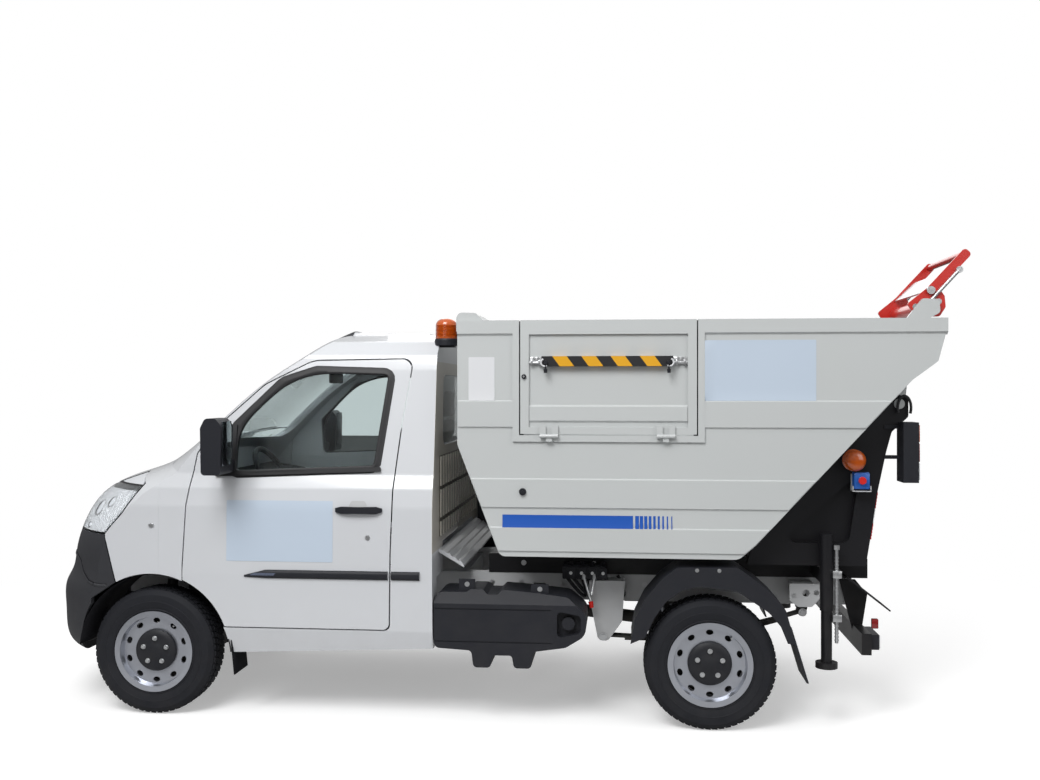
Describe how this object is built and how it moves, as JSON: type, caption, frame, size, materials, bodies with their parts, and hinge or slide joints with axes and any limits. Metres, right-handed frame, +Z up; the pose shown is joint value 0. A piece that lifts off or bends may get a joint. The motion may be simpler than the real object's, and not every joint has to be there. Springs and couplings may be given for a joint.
{
  "type": "refuse collection truck",
  "caption": "Light refuse collection truck: short-nosed cab, tipping open tub with a side flap, and a bin lifter at its rear rim.",
  "frame": {"origin": "on the ground under the middle of the outer box", "axes": "+Z up, the truck faces -X, its left side is -Y"},
  "size_m": [4.5934, 2.09, 2.2561],
  "materials": {
    "cab_paint": "gloss white-grey paint",
    "tub_paint": "light grey paint",
    "frame_paint": "light grey chassis paint",
    "black_paint": "satin black paint",
    "lifter_paint": "red paint",
    "glass": "tinted",
    "bumper_plastic": "grained dark grey",
    "black_plastic": "matt black",
    "lamp_lens": "clear lens",
    "tail_lens": "red lens in a black housing",
    "amber_lens": "amber lens",
    "control_paint": "blue paint",
    "seat_fabric": "dark woven",
    "trim_plastic": "grained",
    "tyre": "black rubber",
    "rim_steel": "silver paint",
    "zinc_steel": "zinc plated",
    "cast_iron": "cast",
    "running_gear": "black"
  },
  "bodies": {
    "root": {"cab_shell": "cab_paint", "cab_floor": "cab_paint", "cab_glass": "glass", "front_bumper": "bumper_plastic", "headlamps": "lamp_lens", "front_grille": "black_plastic", "radiator": "black_plastic", "front_wings": "cab_paint", "dashboard": "trim_plastic", "seats": "seat_fabric", "chassis_frame": "frame_paint", "tipper_subframe": "black_paint", "rear_tower": "black_paint", "front_suspension": "running_gear", "rear_axle": "running_gear", "leaf_springs": "running_gear", "engine_block": "cast_iron", "drive_shaft": "running_gear", "exhaust": "zinc_steel", "side_tanks": "black_plastic", "rear_mudguards": "black_plastic", "rear_underrun": "black_paint", "tail_lamps": "tail_lens", "beacons": "amber_lens", "control_boxes": "control_paint"},
    "bonnet": {"bonnet": "cab_paint"},
    "steering_wheel": {"steering_wheel": "trim_plastic"},
    "tub": {"tub_wrap": "tub_paint", "tub_side_left": "tub_paint", "tub_side_right": "tub_paint"},
    "side_flap": {"side_flap": "tub_paint"},
    "lifter": {"lifter_frame": "lifter_paint", "lifter_comb": "zinc_steel"},
    "tip_barrel": {"tip_barrel": "black_paint"},
    "tip_stage_lower": {"tip_stage_lower": "zinc_steel"},
    "tip_stage_upper": {"tip_stage_upper": "zinc_steel"},
    "tip_rod": {"tip_rod": "zinc_steel"},
    "door_left": {"door_left": "cab_paint", "door_glass_left": "glass", "mirror_left": "black_plastic"},
    "stabiliser_left": {"stabiliser_leg_left": "zinc_steel"},
    "knuckle_left": {"knuckle_left": "running_gear"},
    "wheel_front_left": {"tyre_front_left": "tyre", "rim_front_left": "rim_steel"},
    "wheel_rear_left": {"tyre_rear_left": "tyre", "rim_rear_left": "rim_steel"},
    "door_right": {"door_right": "cab_paint", "door_glass_right": "glass", "mirror_right": "black_plastic"},
    "stabiliser_right": {"stabiliser_leg_right": "zinc_steel"},
    "knuckle_right": {"knuckle_right": "running_gear"},
    "wheel_front_right": {"tyre_front_right": "tyre", "rim_front_right": "rim_steel"},
    "wheel_rear_right": {"tyre_rear_right": "tyre", "rim_rear_right": "rim_steel"}
  },
  "joints": [
    {"name": "steer_left", "type": "hinge", "parent": "root", "child": "knuckle_left", "pos_m": [-1.658, -0.655, 0.205], "axis": [0, 0.2147, 0.9767], "range_deg": [-30, 30]},
    {"name": "spin_front_left", "type": "hinge", "parent": "knuckle_left", "child": "wheel_front_left", "pos_m": [-1.658, -0.71, 0.304], "axis": [0, 1, 0], "continuous": true},
    {"name": "spin_rear_left", "type": "hinge", "parent": "root", "child": "wheel_rear_left", "pos_m": [0.992, -0.71, 0.304], "axis": [0, 1, 0], "continuous": true},
    {"name": "door_left_open", "type": "hinge", "parent": "root", "child": "door_left", "pos_m": [-1.475, -0.819, 1], "axis": [0, 0, -1], "range_deg": [0, 65]},
    {"name": "stabiliser_left_down", "type": "slide", "parent": "root", "child": "stabiliser_left", "axis": [0, 0, -1], "range_m": [0, 0.27]},
    {"name": "steer_right", "type": "hinge", "parent": "root", "child": "knuckle_right", "pos_m": [-1.658, 0.655, 0.205], "axis": [0, -0.2147, 0.9767], "range_deg": [-30, 30]},
    {"name": "spin_front_right", "type": "hinge", "parent": "knuckle_right", "child": "wheel_front_right", "pos_m": [-1.658, 0.71, 0.304], "axis": [0, 1, 0], "continuous": true},
    {"name": "spin_rear_right", "type": "hinge", "parent": "root", "child": "wheel_rear_right", "pos_m": [0.992, 0.71, 0.304], "axis": [0, 1, 0], "continuous": true},
    {"name": "door_right_open", "type": "hinge", "parent": "root", "child": "door_right", "pos_m": [-1.475, 0.819, 1], "axis": [0, 0, 1], "range_deg": [0, 65]},
    {"name": "stabiliser_right_down", "type": "slide", "parent": "root", "child": "stabiliser_right", "axis": [0, 0, -1], "range_m": [0, 0.27]},
    {"name": "steering_wheel_turn", "type": "hinge", "parent": "root", "child": "steering_wheel", "pos_m": [-1.2, -0.36, 1.11], "axis": [0.866, 0, 0.5], "range_deg": [-430, 430]},
    {"name": "bonnet_open", "type": "hinge", "parent": "root", "child": "bonnet", "pos_m": [-1.607, 0, 1.27], "axis": [0, 1, 0], "range_deg": [0, 50]},
    {"name": "tub_tip", "type": "hinge", "parent": "root", "child": "tub", "pos_m": [1.867, 0, 1.5], "axis": [0, 1, 0], "range_deg": [0, 80]},
    {"name": "side_flap_open", "type": "hinge", "parent": "tub", "child": "side_flap", "pos_m": [0.525, -0.836, 1.352], "axis": [1, 0, 0], "range_deg": [0, 165]},
    {"name": "lifter_raise", "type": "hinge", "parent": "tub", "child": "lifter", "pos_m": [2.096, 0, 1.972], "axis": [0, -1, 0], "range_deg": [-133, 0]},
    {"name": "tip_barrel_swing", "type": "hinge", "parent": "root", "child": "tip_barrel", "pos_m": [1.2, 0, 0.62], "axis": [0, 1, 0], "range_deg": [0, 74.52]},
    {"name": "tip_stage_lower_slide", "type": "slide", "parent": "tip_barrel", "child": "tip_stage_lower", "axis": [-0.9948, 0, 0.1016], "range_m": [0, 0.4723]},
    {"name": "tip_stage_upper_slide", "type": "slide", "parent": "tip_stage_lower", "child": "tip_stage_upper", "axis": [-0.9948, 0, 0.1016], "range_m": [0, 0.4723]},
    {"name": "tip_rod_slide", "type": "slide", "parent": "tip_stage_upper", "child": "tip_rod", "axis": [-0.9948, 0, 0.1016], "range_m": [0, 0.4723]}
  ],
  "couplings": [
    {"joint": "steer_right", "follows": "steer_left", "ratio": 1},
    {"joint": "steering_wheel_turn", "follows": "steer_left", "ratio": 14},
    {"joint": "tip_barrel_swing", "follows": "tub_tip", "ratio": 0.93023},
    {"joint": "tip_stage_lower_slide", "follows": "tub_tip", "m_per_rad": 0.33751},
    {"joint": "tip_stage_upper_slide", "follows": "tub_tip", "m_per_rad": 0.33751},
    {"joint": "tip_rod_slide", "follows": "tub_tip", "m_per_rad": 0.33751}
  ]
}
